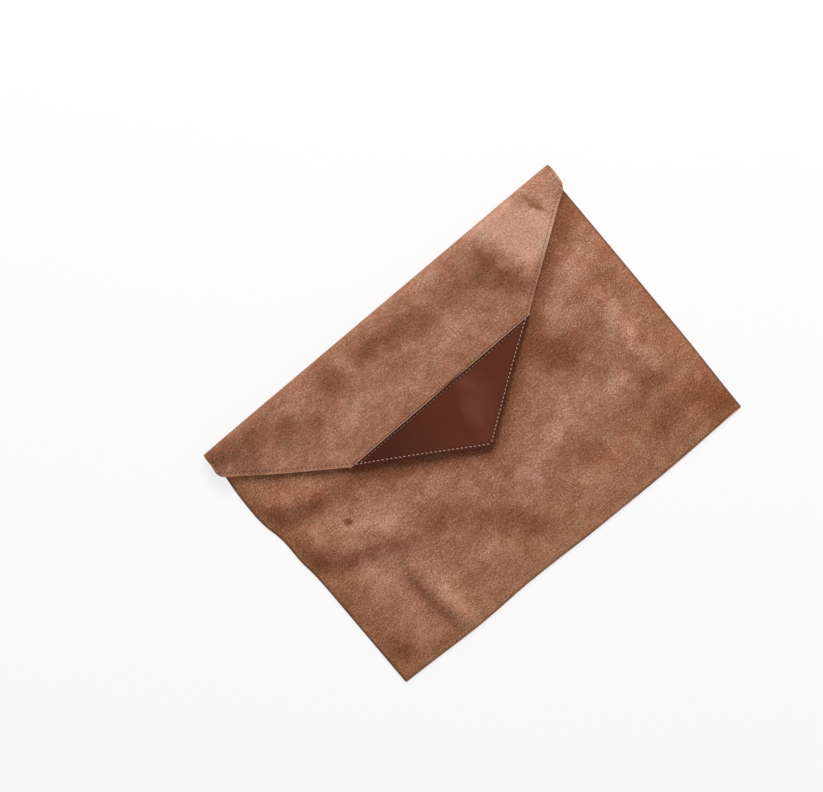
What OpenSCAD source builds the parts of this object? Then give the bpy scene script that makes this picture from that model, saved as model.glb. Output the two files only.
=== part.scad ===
// Envelope laptop sleeve in suede with a pointed flap and a smooth leather tip.
// The sleeve lies on its back. X runs along the fold, Y from the bottom edge to the fold, Z up.
// All sizes in millimetres.

/* [Pocket] */
// width of the pocket over its side seams
body_w = 388; // [320:1:460]
// height from the bottom edge to the outside of the fold
body_h = 276; // [230:1:330]
// radius of the two bottom corners
corner_r = 3; // [1:0.5:6]
// width of the lip where front and back suede meet at the seams
seam_lip = 2; // [1:0.5:4]
// distance from the edge at which the lining starts under the front
seam_border = 8; // [6:0.5:14]
// distance over which the front swells from the border to its flat middle
shoulder = 40; // [24:1:70]
// clear height in the middle of the pocket
pocket_clear = 12.5; // [8:0.5:20]
// distance from the outside of the fold back to the mouth edge
mouth_back = 16; // [14:0.5:40]
// width of the suede strip that faces the mouth inside
facing_w = 20; // [10:1:40]

/* [Drape] */
// height of the soft folds on the left of the front
drape_h = 4; // [0:0.5:6]
// half width of a soft fold
drape_w = 13; // [10:1:20]

/* [Plies] */
// thickness of the suede
suede_t = 1.4; // [0.8:0.1:2.2]
// thickness of the lining
lining_t = 0.6; // [0.4:0.1:1.2]
// thickness of the smooth leather tip
leather_t = 1.1; // [0.7:0.1:1.8]
// clearance between plies that lie on each other
ply_gap = 0.05; // [0.02:0.01:0.2]

/* [Flap] */
// how far the flap stands out past the pocket on each side
flap_overhang = 2; // [0:0.5:8]
// distance from the outside of the fold to the flap's point
flap_depth = 159; // [120:1:200]
// length of the short straight sides of the flap
flap_side = 24; // [20:0.5:50]
// distance from the outside of the fold to the upper edge of the leather tip
tip_start = 94; // [70:1:110]
// half width of the leather tip along its upper edge
tip_half = 100; // [60:1:120]
// how far the leather stands out past the suede under it
leather_lap = 0.8; // [0:0.1:2]
// radius of the flap's side corners
flap_corner_r = 5; // [1:0.5:10]
// radius of the flap's point
tip_r = 3; // [1:0.5:10]
// height of the closed flap above the front
flap_gap = 1.2; // [1:0.1:4]
// how far the flap's ends hang below its middle
flap_droop = 7.5; // [3:0.5:10]
// clearance between the fold strip and the panels that it joins
fold_gap = 0.2; // [0.1:0.05:0.5]

/* [Stitching] */
// distance from one stitch to the next
stitch_pitch = 3.6; // [2.4:0.1:6]
// length of one stitch
stitch_len = 2.5; // [1.4:0.1:4]
// thickness of the thread
thread_d = 0.7; // [0.4:0.05:1]
// distance of the light stitches from the leather's lower edges
tip_inset = 2.4; // [1.5:0.1:5]
// distance of the stitches from the leather's upper edge
tip_seam_inset = 1.8; // [1.2:0.1:5]
// distance of the stitches from the suede flap's edges
edge_inset = 3.8; // [2:0.1:8]
// distance of the stitches from the mouth edge
mouth_inset = 4; // [2:0.1:8]

/* [Closure] */
// diameter of the closure magnets
magnet_d = 16; // [10:0.5:24]
// thickness of the closure magnets
magnet_t = 1; // [0.8:0.1:1.3]
// distance from the flap's point up to the magnets
magnet_up = 30; // [24:1:60]
// clearance around the magnets
magnet_gap = 0.2; // [0.1:0.05:0.5]
// width of the patch that shows around the magnet inside the pocket
patch_rim = 6; // [3:0.5:12]
// thickness of the magnet patch
patch_t = 0.45; // [0.3:0.05:0.8]

/* [Hidden] */

suede_col = [0.62, 0.44, 0.34];
leather_col = [0.36, 0.2, 0.16];
lining_col = [0.45, 0.33, 0.26];
tan_col = [0.68, 0.5, 0.4];
cream_col = [0.9, 0.8, 0.74];
magnet_col = [0.7, 0.7, 0.72];

half_w = body_w / 2;
flap_half = half_w + flap_overhang;
y_fold = body_h / 2;
y_bottom = -body_h / 2;
y_mouth = y_fold - mouth_back;
y_facing = y_mouth - facing_w;
y_seam = y_fold - tip_start;
y_point = y_fold - flap_depth;
y_magnet = y_point + magnet_up;

// heights of the plies, from the back panel up
z_back = suede_t + ply_gap;
z_floor = z_back + lining_t;
z_border = z_floor + thread_d + 6 * ply_gap;
z_roof = z_floor + pocket_clear;
crown_h = z_roof - z_border;
z_front = lining_t + ply_gap;
z_top = z_roof + z_front + suede_t;
z_facing = z_top + flap_gap;
z_flap = z_facing + lining_t + ply_gap;
z_flap_top = z_flap + suede_t;
z_tip = z_flap_top + ply_gap;
z_tip_top = z_tip + leather_t;

// the fold is a half tube over the height of the closed flap
fold_r = z_flap_top / 2;
y_joined = y_fold - fold_r - 0.5;
x_flat = half_w - seam_border - shoulder;
lining_edge = half_w - seam_border + 3;
thread_edge = seam_border - 1.4;
steps = 8;
fold_steps = 10;

function within(t) = min(1, max(0, t));
function swell(t) = sin(90 * within(t));
function reversed(a) = [for (k = [len(a) - 1 : -1 : 0]) a[k]];
function unit(v) = v / norm(v);

// lines of the soft folds, as shares of the half width and half height, and each fold's share of the height
drape_lines = [
  [[-1.04, 0.57], [-0.77, 0.34], 1.1],
  [[-0.93, 0.07], [-0.58, -0.21], 0.9],
  [[-0.61, -0.45], [-0.6, -1.01], 0.9]
];

// distance from p to the line from a to b
function from_line(p, a, b) = norm(p - a - (b - a) * within((p - a) * (b - a) / ((b - a) * (b - a))));

// lower edge of the flap at x
function flap_edge(x) =
  let (out = abs(x) - at_seam(0))
  y_seam + out * (out > 0 ? (y_fold - flap_side - y_seam) / (flap_half - at_seam(0)) : (y_seam - y_point) / at_seam(0));

// rise of the soft folds, which fade out at the seams and before the flap
function drape(x, y) =
  let (
    scale = [half_w, y_fold],
    rises = [
      for (d = drape_lines)
        let (gap = from_line([x, y], [d[0].x * scale.x, d[0].y * scale.y], [d[1].x * scale.x, d[1].y * scale.y]))
        d[2] * exp(-pow(gap / drape_w, 2))
    ],
    edge = within((min(half_w - abs(x), y - y_bottom) - seam_border) / 16),
    open = within((flap_edge(x) - y) / 12)
  )
  drape_h * max(rises) * edge * open;

// swell of the front above its border
function crown(x, y) =
  drape(x, y)
  + crown_h * swell((half_w - seam_border - abs(x)) / shoulder) * swell((y - y_bottom - seam_border) / shoulder);

// 0 on the lip at the seams, 1 from the border inwards
function lip(x, y) = within((min(half_w - abs(x), y - y_bottom) - seam_lip) / (seam_border - seam_lip));

// underside of the front lining and of the front suede
function lining_under(x, y) = z_border + crown(x, y);
function front_under(x, y) = z_back + (z_border + z_front - z_back) * lip(x, y) + crown(x, y);

// how far the flap hangs below its middle at x
function droop(x) = flap_droop * pow(within((abs(x) - x_flat) / (flap_half - x_flat)), 2);

// stations across the pocket and the flap
rise_x = [for (k = [0 : steps]) half_w - seam_border - shoulder * k / steps];
rise_y = [for (k = [0 : steps]) y_bottom + seam_border + shoulder * k / steps];
drape_x = [for (k = [1 : 4]) -x_flat + k * half_w * 0.07];
drape_y = [for (k = [1 : 11]) rise_y[steps] + (y_facing - rise_y[steps]) * k / 12];
lining_x = concat([for (x = rise_x) -x], drape_x, [0], reversed(rise_x));
front_x = concat([-half_w, seam_lip - half_w], lining_x, [half_w - seam_lip, half_w]);
lining_y = concat(rise_y, drape_y, [y_facing - fold_gap]);
front_y = concat([y_bottom, y_bottom + seam_lip], rise_y, drape_y, [y_facing, y_mouth]);
droop_x = [for (k = [0 : steps]) flap_half - (flap_half - x_flat) * k / steps];
flap_x = concat([for (x = droop_x) -x], [0], reversed(droop_x));

// points of an arc of radius r that rounds the corner q between p and s
function rounded(p, q, s, r) =
  let (
    a = unit(p - q),
    b = unit(s - q),
    half = acos(a * b) / 2,
    c = q + unit(a + b) * r / sin(half),
    d = q + a * r / tan(half) - c,
    e = q + b * r / tan(half) - c,
    from = atan2(d.y, d.x),
    turn = atan2(d.x * e.y - d.y * e.x, d * e)
  )
  [for (k = [0 : 5]) c + r * [cos(from + turn * k / 5), sin(from + turn * k / 5)]];

// half of the flap's outline from the fold to the point, inside the leather's edge by n
function tip_run() = [tip_half, y_seam - y_point];
function at_seam(n) = tip_half - n * norm(tip_run()) / tip_run().y;
function at_point(n) = y_point + n * norm(tip_run()) / tip_run().x;
function flap_right(n) =
  let (
    root = [flap_half - n, y_joined - fold_gap],
    corner = [flap_half - n, y_fold - flap_side],
    seam = [at_seam(leather_lap + n), y_seam],
    point = [0, at_point(leather_lap + n)]
  )
  concat([root], rounded(root, corner, seam, flap_corner_r), [seam], half_point(seam, point));
function half_point(seam, point) =
  [for (p = rounded(seam, point, [-seam.x, seam.y], tip_r)) if (p.x > 0) p];
function mirrored(side) = concat(side, [for (p = reversed(side)) [-p.x, p.y]]);
function tip_right() = concat([[tip_half, y_seam]], half_point([tip_half, y_seam], [0, y_point]));

// closed ply between two equal grids of points, the rows running along X
module ply(top, bottom) {
  n = len(top[0]);
  m = len(top);
  low = n * m;
  at = function (i, j) j * n + i;
  polyhedron(
    points = concat([for (row = top) each row], [for (row = bottom) each row]),
    faces = concat(
      [for (j = [0 : m - 2], i = [0 : n - 2]) [at(i, j), at(i, j + 1), at(i + 1, j + 1)]],
      [for (j = [0 : m - 2], i = [0 : n - 2]) [at(i, j), at(i + 1, j + 1), at(i + 1, j)]],
      [for (j = [0 : m - 2], i = [0 : n - 2]) [low + at(i, j), low + at(i + 1, j + 1), low + at(i, j + 1)]],
      [for (j = [0 : m - 2], i = [0 : n - 2]) [low + at(i, j), low + at(i + 1, j), low + at(i + 1, j + 1)]],
      [for (i = [0 : n - 2]) [low + at(i, 0), at(i, 0), at(i + 1, 0), low + at(i + 1, 0)]],
      [for (i = [0 : n - 2]) [low + at(i, m - 1), low + at(i + 1, m - 1), at(i + 1, m - 1), at(i, m - 1)]],
      [for (j = [0 : m - 2]) [low + at(0, j), low + at(0, j + 1), at(0, j + 1), at(0, j)]],
      [for (j = [0 : m - 2]) [low + at(n - 1, j), at(n - 1, j), at(n - 1, j + 1), low + at(n - 1, j + 1)]]
    ),
    convexity = 6
  );
}

// ply of even thickness over stations xs and ys, its underside at the height under(x, y)
module front_ply(xs, ys, under, t) {
  cut = corner_r * (1 - sqrt(0.5));
  pull = function (x, y) abs(x) == half_w && y == y_bottom ? cut : 0;
  grid = function (up)
    [for (y = ys) [for (x = xs) [x - sign(x) * pull(x, y), y + pull(x, y), under(x, y) + up]]];
  ply(grid(t), grid(0));
}

// half tube of the fold, its outside o inside the outside of the suede
module fold_ply(o, t) {
  section = function (x, in)
    let (r = (z_flap_top - droop(x)) / 2)
    concat(
      [[x, y_joined, 2 * r - in]],
      [
        for (k = [0 : fold_steps])
          let (a = 90 - 180 * k / fold_steps)
          [x, y_fold - r + (r - in) * cos(a), r + (r - in) * sin(a)]
      ],
      [[x, y_joined, in]]
    );
  grid = function (in)
    let (sections = [for (x = flap_x) section(x, in)])
    [for (k = [0 : fold_steps + 2]) [for (s = sections) s[k]]];
  ply(grid(o), grid(o + t));
}

// ply of the flap with the given half outline, from z to z + t above the flap's middle
module flap_ply(right, z, t) {
  intersection() {
    translate([0, 0, -1])
      linear_extrude(height = z_tip_top + 2)
        polygon(mirrored(right));
    translate([0, y_fold, 0])
      rotate([90, 0, 0])
        linear_extrude(height = flap_depth + 2)
          polygon(concat(
            [for (x = flap_x) [x, z - droop(x)]],
            [for (x = reversed(flap_x)) [x, z + t - droop(x)]]
          ));
  }
}

// straight piece of thread from a to b
module rod(a, b) {
  v = b - a;
  translate(a)
    rotate([0, acos(v.z / norm(v)), atan2(v.y, v.x)])
      cylinder(h = norm(v), d = thread_d, $fn = 6);
}

// even stitches from p to q, lying on the surface of height top(x, y)
module stitch_row(p, q, top) {
  run = norm(q - p);
  count = floor((run - stitch_len) / stitch_pitch) + 1;
  first = (run - (count - 1) * stitch_pitch - stitch_len) / 2;
  on = function (s)
    let (w = p + unit(q - p) * s)
    [w.x, w.y, top(w.x, w.y) + thread_d / 2 + 2 * ply_gap];
  for (k = [0 : count - 1])
    rod(on(first + k * stitch_pitch), on(first + k * stitch_pitch + stitch_len));
}

// flat sheet of the pocket with square mouth end and rounded bottom corners
module flat_sheet(half, low, r, t) {
  a = [half, y_joined - fold_gap];
  b = [half, low];
  linear_extrude(height = t)
    polygon(mirrored(concat([a], rounded(a, b, [-half, low], r))));
}

// thread of a hidden seam, lying on the lining between the two ends
module seam_thread(a, b) {
  z = z_floor + ply_gap + thread_d / 2;
  rod([a.x, a.y, z], [b.x, b.y, z]);
}

module disc(d, t) {
  translate([0, y_magnet, 0])
    cylinder(h = t, d = d, $fn = 64);
}

// stitches along the right edge of the suede flap, mirrored for the left edge
module edge_rows() {
  on_flap = function (x, y) z_flap_top - droop(x);
  side = [flap_half, y_fold - flap_side];
  seam = [at_seam(leather_lap), y_seam];
  along = unit(seam - side);
  inward = [along.y, -along.x];
  turn = side + edge_inset * [-1, tan(atan2(along.y, along.x) / 2 + 45)];
  stop = seam + inward * edge_inset + along * (inward * along);
  root = [flap_half - edge_inset, y_joined - fold_gap - 0.6];
  stitch_row(root, turn + [0, 0.6], on_flap);
  stitch_row(turn + along * 0.6, stop - along * (edge_inset + 1), on_flap);
}

module back_panel() {
  color(suede_col)
    flat_sheet(half_w, y_bottom, corner_r, suede_t);
}

module back_lining() {
  color(lining_col)
    translate([0, 0, z_back])
      flat_sheet(lining_edge, y_bottom + half_w - lining_edge, corner_r, lining_t);
}

module front_panel() {
  color(suede_col)
    front_ply(front_x, front_y, function (x, y) front_under(x, y), suede_t);
}

module front_lining() {
  color(lining_col)
    difference() {
      front_ply(lining_x, lining_y, function (x, y) lining_under(x, y), lining_t);
      translate([0, 0, z_roof - 1])
        disc(magnet_d + 2 * magnet_gap, lining_t + 2);
    }
}

module mouth_facing() {
  color(suede_col)
    front_ply(lining_x, [y_facing, y_mouth], function (x, y) lining_under(x, y), lining_t);
}

module mouth_thread() {
  end = half_w - seam_border - 2;
  y = y_mouth - mouth_inset;
  color(tan_col)
    stitch_row([-end, y], [end, y], function (x, y) front_under(x, y) + suede_t);
}

module left_seam_thread() {
  color(tan_col)
    mirror([1, 0, 0])
      side_seam();
}

module right_seam_thread() {
  color(tan_col)
    side_seam();
}

module side_seam() {
  x = half_w - thread_edge;
  seam_thread([x, y_bottom + seam_border + 4], [x, y_mouth - 4]);
}

module bottom_seam_thread() {
  x = half_w - seam_border - 4;
  y = y_bottom + thread_edge;
  color(tan_col)
    seam_thread([-x, y], [x, y]);
}

module body_magnet() {
  color(magnet_col)
    translate([0, 0, z_roof + lining_t - magnet_t])
      disc(magnet_d, magnet_t);
}

module magnet_patch() {
  sunk = magnet_t - lining_t;
  color(lining_col)
    difference() {
      translate([0, 0, z_roof - ply_gap - sunk - patch_t])
        disc(magnet_d + 2 * patch_rim, sunk + patch_t);
      translate([0, 0, z_roof - ply_gap - sunk])
        disc(magnet_d + 2 * magnet_gap, sunk + 1);
    }
}

module fold() {
  color(suede_col)
    fold_ply(0, suede_t);
}

module fold_lining() {
  color(lining_col)
    fold_ply(z_back, lining_t);
}

module flap_panel() {
  color(suede_col)
    difference() {
      flap_ply(flap_right(0), z_flap, suede_t);
      translate([0, 0, z_flap - 1])
        disc(magnet_d + 2 * magnet_gap, suede_t + 2);
    }
}

module flap_tip() {
  color(leather_col)
    flap_ply(tip_right(), z_tip, leather_t);
}

module flap_facing() {
  color(lining_col)
    flap_ply(flap_right(0.8), z_facing, lining_t);
}

module left_edge_thread() {
  color(tan_col)
    mirror([1, 0, 0])
      edge_rows();
}

module right_edge_thread() {
  color(tan_col)
    edge_rows();
}

module tip_thread() {
  on_tip = function (x, y) z_tip_top - droop(x);
  seam = [at_seam(tip_inset), y_seam];
  point = [0, at_point(tip_inset)];
  along = unit(point - seam);
  color(cream_col) {
    stitch_row(seam + along * 1.2, point - along * 1.2, on_tip);
    mirror([1, 0, 0])
      stitch_row(seam + along * 1.2, point - along * 1.2, on_tip);
  }
}

module tip_seam_thread() {
  on_tip = function (x, y) z_tip_top - droop(x);
  y = y_seam - tip_seam_inset;
  end = at_seam(tip_inset) - 5;
  color(tan_col)
    stitch_row([-end, y], [end, y], on_tip);
}

module flap_magnet() {
  color(magnet_col)
    translate([0, 0, z_flap])
      disc(magnet_d, magnet_t);
}

back_panel();
back_lining();
front_panel();
front_lining();
mouth_facing();
mouth_thread();
left_seam_thread();
right_seam_thread();
bottom_seam_thread();
body_magnet();
magnet_patch();
fold();
fold_lining();
flap_panel();
flap_tip();
flap_facing();
left_edge_thread();
right_edge_thread();
tip_thread();
tip_seam_thread();
flap_magnet();
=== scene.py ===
"""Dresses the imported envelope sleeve: suede, smooth leather tip, linings, stitches and stage."""

import math

import bmesh
import bpy
from bpy.props import FloatProperty, FloatVectorProperty, PointerProperty
from mathutils import Matrix, Vector, noise


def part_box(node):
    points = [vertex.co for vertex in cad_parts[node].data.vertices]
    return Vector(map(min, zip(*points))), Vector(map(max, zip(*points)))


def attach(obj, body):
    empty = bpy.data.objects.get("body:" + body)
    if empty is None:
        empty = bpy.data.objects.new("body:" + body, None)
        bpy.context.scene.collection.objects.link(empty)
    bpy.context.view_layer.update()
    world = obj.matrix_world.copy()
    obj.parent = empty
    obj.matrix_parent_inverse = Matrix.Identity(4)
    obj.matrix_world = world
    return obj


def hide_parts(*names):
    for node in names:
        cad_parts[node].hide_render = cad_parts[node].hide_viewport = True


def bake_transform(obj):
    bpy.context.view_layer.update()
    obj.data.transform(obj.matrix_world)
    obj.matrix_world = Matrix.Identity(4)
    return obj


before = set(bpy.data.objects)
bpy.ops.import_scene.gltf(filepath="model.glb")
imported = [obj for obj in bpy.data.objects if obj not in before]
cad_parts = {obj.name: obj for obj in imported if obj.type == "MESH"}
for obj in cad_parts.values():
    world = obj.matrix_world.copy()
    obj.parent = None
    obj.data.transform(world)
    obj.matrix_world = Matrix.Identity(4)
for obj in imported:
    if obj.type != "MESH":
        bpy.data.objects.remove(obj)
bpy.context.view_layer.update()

bl_info = {
    "name": "Envelope sleeve",
    "version": (1, 0, 0),
    "blender": (4, 5, 0),
    "location": "View3D > Sidebar > Sleeve",
    "description": "Builds a suede envelope sleeve with a leather-tipped flap",
    "category": "Object",
}

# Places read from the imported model

MM = 0.001
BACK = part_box("back_panel")
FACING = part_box("mouth_facing")
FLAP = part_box("flap_panel")
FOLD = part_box("fold")
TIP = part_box("flap_tip")
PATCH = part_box("magnet_patch")
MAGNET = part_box("flap_magnet")

HALF = BACK[1].x
BOTTOM = BACK[0].y
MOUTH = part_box("front_panel")[1].y
FOLD_Y = FOLD[1].y
ROOT = FOLD[0].y
FLAP_HALF = FLAP[1].x
FLAP_LOW = FLAP[0].z
FLAP_TOP = FLAP[1].z
SEAM_Y = TIP[1].y
TIP_HALF = TIP[1].x
POINT_Y = TIP[0].y
TIP_RISE = SEAM_Y - POINT_Y
TIP_SLANT = math.hypot(TIP_HALF, TIP_RISE)
MAGNET_MID = (MAGNET[0] + MAGNET[1]) / 2
PATCH_MID = (PATCH[0] + PATCH[1]) / 2
SUEDE = BACK[1].z - BACK[0].z
PLY_GAP = 0.05 * MM
FRONT_TOP = FACING[1].z + PLY_GAP + SUEDE

# lengths along the cut suede, from the bottom edge: the back, the fold, and where the flap starts
BACK_RUN = ROOT - BOTTOM
FOLD_RUN = math.pi * FLAP_TOP / 2 + 2 * (FOLD_Y - FLAP_TOP / 2 - ROOT)
FLAP_START = BACK_RUN + FOLD_RUN

# Sizes and colours


def length_property(name, description, default):
    return FloatProperty(
        name=name, description=description, default=default, min=0.0, unit="LENGTH", precision=5
    )


def colour_property(name, description, default):
    return FloatVectorProperty(
        name=name, description=description, default=default, size=3, min=0.0, max=1.0, subtype="COLOR"
    )


class SleeveSizes(bpy.types.PropertyGroup):
    """Sizes of the plies, the stitches and the mesh."""

    suede: length_property("Suede", "Thickness of the suede", SUEDE)
    leather: length_property("Leather", "Thickness of the leather tip", TIP[1].z - TIP[0].z)
    lining: length_property("Lining", "Thickness of the lining", 0.6 * MM)
    ply_gap: length_property("Ply gap", "Clearance between plies", PLY_GAP)
    shoulder: length_property("Shoulder", "Distance over which the front swells", 48 * MM)
    lip: length_property("Lip", "Width of the rolled edge at the seams", 1.8 * MM)
    flap_side: length_property("Flap side", "Length of the flap's short sides", 24 * MM)
    flap_corner: length_property("Flap corner", "Radius of the flap's side corners", 8 * MM)
    point_radius: length_property("Point radius", "Radius of the flap's point", 3 * MM)
    leather_lap: length_property("Leather lap", "How far the leather covers past the suede", 0.8 * MM)
    slack: FloatProperty(
        name="Slack", description="How much the sides and edges wander", default=1.0, min=0.0
    )
    edge_lift: length_property("Edge lift", "How far the flap's left edge curls up", 1.8 * MM)
    cell: length_property("Cell", "Size of the mesh cells of the suede", 2.5 * MM)
    lining_cell: length_property("Lining cell", "Size of the mesh cells of the linings", 6 * MM)
    stitch_pitch: length_property("Stitch pitch", "Distance from stitch to stitch", 3.6 * MM)
    stitch_length: length_property("Stitch length", "Length of one stitch", 2.2 * MM)
    thread: length_property("Thread", "Thickness of the thread", 0.7 * MM)
    tip_inset: length_property("Tip inset", "Light stitches from the leather's edge", 2.4 * MM)
    seam_inset: length_property("Seam inset", "Stitches from the leather's upper edge", 2.7 * MM)
    edge_inset: length_property("Edge inset", "Stitches from the suede flap's edge", 2.9 * MM)
    mouth_inset: length_property("Mouth inset", "Stitches from the mouth edge", 4 * MM)


class SleeveColours(bpy.types.PropertyGroup):
    """Colours of the finishes."""

    suede_dark: colour_property("Suede dark", "Nap brushed away from the light", (0.172, 0.059, 0.0275))
    suede_mid: colour_property("Suede", "Main tone of the suede", (0.330, 0.143, 0.0815))
    suede_light: colour_property("Suede light", "Nap brushed towards the light", (0.60, 0.338, 0.240))
    # painted highlight along the flap's rounded cut edge
    flap_rim_highlight: colour_property("Flap rim", "Suede along the flap's cut edge", (0.58, 0.31, 0.195))
    worn_rim: colour_property("Worn rim", "Suede along the pocket's seams", (0.112, 0.058, 0.040))
    leather: colour_property("Leather", "Main tone of the leather tip", (0.091, 0.0212, 0.0094))
    leather_light: colour_property("Leather rub", "Leather where it is rubbed", (0.124, 0.035, 0.0185))
    leather_smear: colour_property("Leather smear", "Pale smears on the leather", (0.150, 0.055, 0.037))
    cut_edge: colour_property("Cut edge", "Raw cut edge of the leather", (0.45, 0.245, 0.17))
    lining: colour_property("Lining", "Woven lining", (0.20, 0.104, 0.066))
    tan_thread: colour_property("Tan thread", "Thread on the suede", (0.49, 0.272, 0.192))
    cream_thread: colour_property("Cream thread", "Thread on the leather's lower edges", (0.81, 0.49, 0.395))
    # painted shadow in the needle holes
    needle_hole_shadow: colour_property("Needle hole", "Dark hole at the end of a stitch", (0.07, 0.026, 0.016))
    magnet: colour_property("Magnet", "Plated magnet disc", (0.55, 0.55, 0.56))
    floor: colour_property("Floor", "Pale floor", (0.93, 0.93, 0.93))


def sizes():
    return bpy.context.scene.sleeve_sizes


def colours():
    return bpy.context.scene.sleeve_colours


def toned(colour, share):
    return tuple(v * share for v in colour)


# Soft shapes

# ridges of the front and of the flap in millimetres: both ends, half width and height
FRONT_RIDGES = (
    (-202, 78, -150, 47, 13, 4.6),
    (-186, 40, -128, 26, 10, -1.6),
    (-180, 10, -112, -29, 14, 3.6),
    (-188, -14, -130, -44, 11, -1.6),
    (-119, -62, -116, -140, 10, 4.0),
    (-131, -70, -127, -134, 6, -1.0),
    (155, 20, 155, -63, 8, 1.8),
    (28, -62, 130, -58, 15, 2.2),
    (96, -8, 128, -2, 14, -0.6),
    (60, -110, 150, -90, 16, 1.2),
    (-60, -75, -30, -135, 12, 1.4),
    (150, 60, 186, 88, 12, 1.2),
)
FLAP_RIDGES = (
    (118, 130, 122, 74, 13, 2.4),
    (-51, 128, -51, 92, 8, 1.0),
    (-120, 122, -84, 84, 12, 1.2),
    (-172, 128, -150, 106, 10, 0.8),
    (20, 126, 44, 90, 14, 0.9),
    (169, 122, 174, 116, 8, -1.2),
)

# slack edges in millimetres: place along the edge, and how far it swings out there
LEFT_SWING = (
    (-30, 0.0), (-8, 0.6), (8, 2.2), (30, 2.3), (41, 3.6),
    (52, 6.0), (66, 7.2), (92, 6.6), (114, 4.5), (127, 3.4),
)
RIGHT_SWING = ((-138, 0.5), (-60, 2.0), (40, 2.4), (127, 2.4))
LOW_SWING = ((-194, 2.2), (-160, 1.2), (-108, -0.5), (-50, 0.8), (20, -0.9), (110, -1.3), (194, 0.6))

POCKET_CORNER = 3 * MM
# how far up the bottom edge's swing reaches, how wide the front's ridges fade out at its seams, and how
# wide the flap's ends droop, its edge curls and its corners sag
LOW_REACH, RIDGE_FADE = 60 * MM, 16 * MM
DROOP, CURL_REACH, SAG_REACH = 48 * MM, 22 * MM, 34 * MM
# most that the front's ridges rise below the flap and, added to that, clear of it, in millimetres
RISE_UNDER, RISE_CLEAR = 0.9, 8
# turns a distance along Y into one from the flap's slanting edge
SLANT = 0.82
# sideways swing of the flap in millimetres: steps down to its point, share of a step and of its square
DRIFT_STEPS, DRIFT_LEAN, DRIFT_BEND = 150, -0.0834, 7.117e-4
# height and radius of the magnet's bump in the leather and in the flap's lining
TIP_BUMP = (0.45 * MM, 11 * MM)
LINING_BUMP = (0.3 * MM, 10 * MM)


def within(t):
    return min(1.0, max(0.0, t))


def eased(t):
    t = within(t)
    return t * t * (3 - 2 * t)


def ridge_height(ridges, x, y):
    """Height in metres that the soft ridges add at a point."""
    total = 0.0
    px, py = x / MM, y / MM
    for ax, ay, bx, by, width, height in ridges:
        dx, dy = bx - ax, by - ay
        t = within(((px - ax) * dx + (py - ay) * dy) / (dx * dx + dy * dy))
        gap = math.hypot(px - ax - t * dx, py - ay - t * dy)
        total += height * math.exp(-((gap / width) ** 2))
    return total * MM


def ripple(x, y, seed):
    """Slow unevenness of a hide, in metres."""
    broad = noise.noise(Vector((x * 17, y * 17, seed)))
    fine = noise.noise(Vector((x * 45, y * 45, seed + 7)))
    return (0.55 * broad + 0.22 * fine) * MM


def through(knots, at):
    """A smooth curve through knots of (place, value)."""
    if at <= knots[0][0]:
        return knots[0][1]
    if at >= knots[-1][0]:
        return knots[-1][1]
    k = next(i for i in range(len(knots) - 1) if at < knots[i + 1][0])

    def lean(i):
        if i in (0, len(knots) - 1):
            return 0.0
        return (knots[i + 1][1] - knots[i - 1][1]) / (knots[i + 1][0] - knots[i - 1][0])

    (xa, ya), (xb, yb) = knots[k], knots[k + 1]
    width = xb - xa
    u = (at - xa) / width
    return (
        ya * (1 + 2 * u) * (1 - u) ** 2 + lean(k) * width * u * (1 - u) ** 2
        + yb * u * u * (3 - 2 * u) + lean(k + 1) * width * u * u * (u - 1)
    )


def side_shift(x, y):
    """How far the slack sides swing out."""
    swing = -through(LEFT_SWING, y / MM) if x < 0 else through(RIGHT_SWING, y / MM)
    return swing * (abs(x) / HALF) ** 4 * sizes().slack * MM


def low_shift(x, y):
    """How far the bottom edge swings."""
    share = 1 - eased((y - BOTTOM) / LOW_REACH)
    return through(LOW_SWING, x / MM) * share * sizes().slack * MM


def at_seam(inset):
    """Half width of the leather's outline at its upper edge, moved in by inset."""
    return TIP_HALF - inset * TIP_SLANT / TIP_RISE


def at_point(inset):
    """Lowest point of the leather's outline, moved in by inset."""
    return POINT_Y + inset * TIP_SLANT / TIP_HALF


def flap_side_y():
    """Where the flap's short sides end."""
    return FOLD_Y - sizes().flap_side


def flap_edge_y(x):
    """Where the flap's lower edge lies."""
    lap = sizes().leather_lap
    across = min(abs(x), FLAP_HALF)
    seam = at_seam(lap)
    point = at_point(lap)
    if across > seam:
        return SEAM_Y + (flap_side_y() - SEAM_Y) * (across - seam) / (FLAP_HALF - seam)
    return point + (SEAM_Y - point) * across / seam


def rolled(gap):
    """How far a rim has rolled over at that distance from its seam, from 0 to 1."""
    roll = 1 - within(gap / sizes().lip)
    return 1 - math.sqrt(max(0.0, 1 - roll * roll))


def front_height(x, y):
    """Upper side of the front suede."""
    s = sizes()
    side = HALF - abs(x)
    low = y - BOTTOM
    rim = min(side, low)
    lip_z = 2 * s.suede + s.ply_gap
    swell = math.sin(math.pi / 2 * within((side - s.lip) / (s.shoulder - s.lip)))
    swell *= math.sin(math.pi / 2 * within((low - s.lip) / (s.shoulder - s.lip)))
    relief = ridge_height(FRONT_RIDGES, x, y) + ripple(x, y, 1.0)
    covered = eased((y - flap_edge_y(x) + 8 * MM) / (12 * MM))
    relief = min(relief, (RISE_UNDER + RISE_CLEAR * (1 - covered)) * MM)
    return lip_z + (FRONT_TOP - lip_z) * swell - s.suede * rolled(rim) + relief * eased(rim / RIDGE_FADE)


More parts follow.
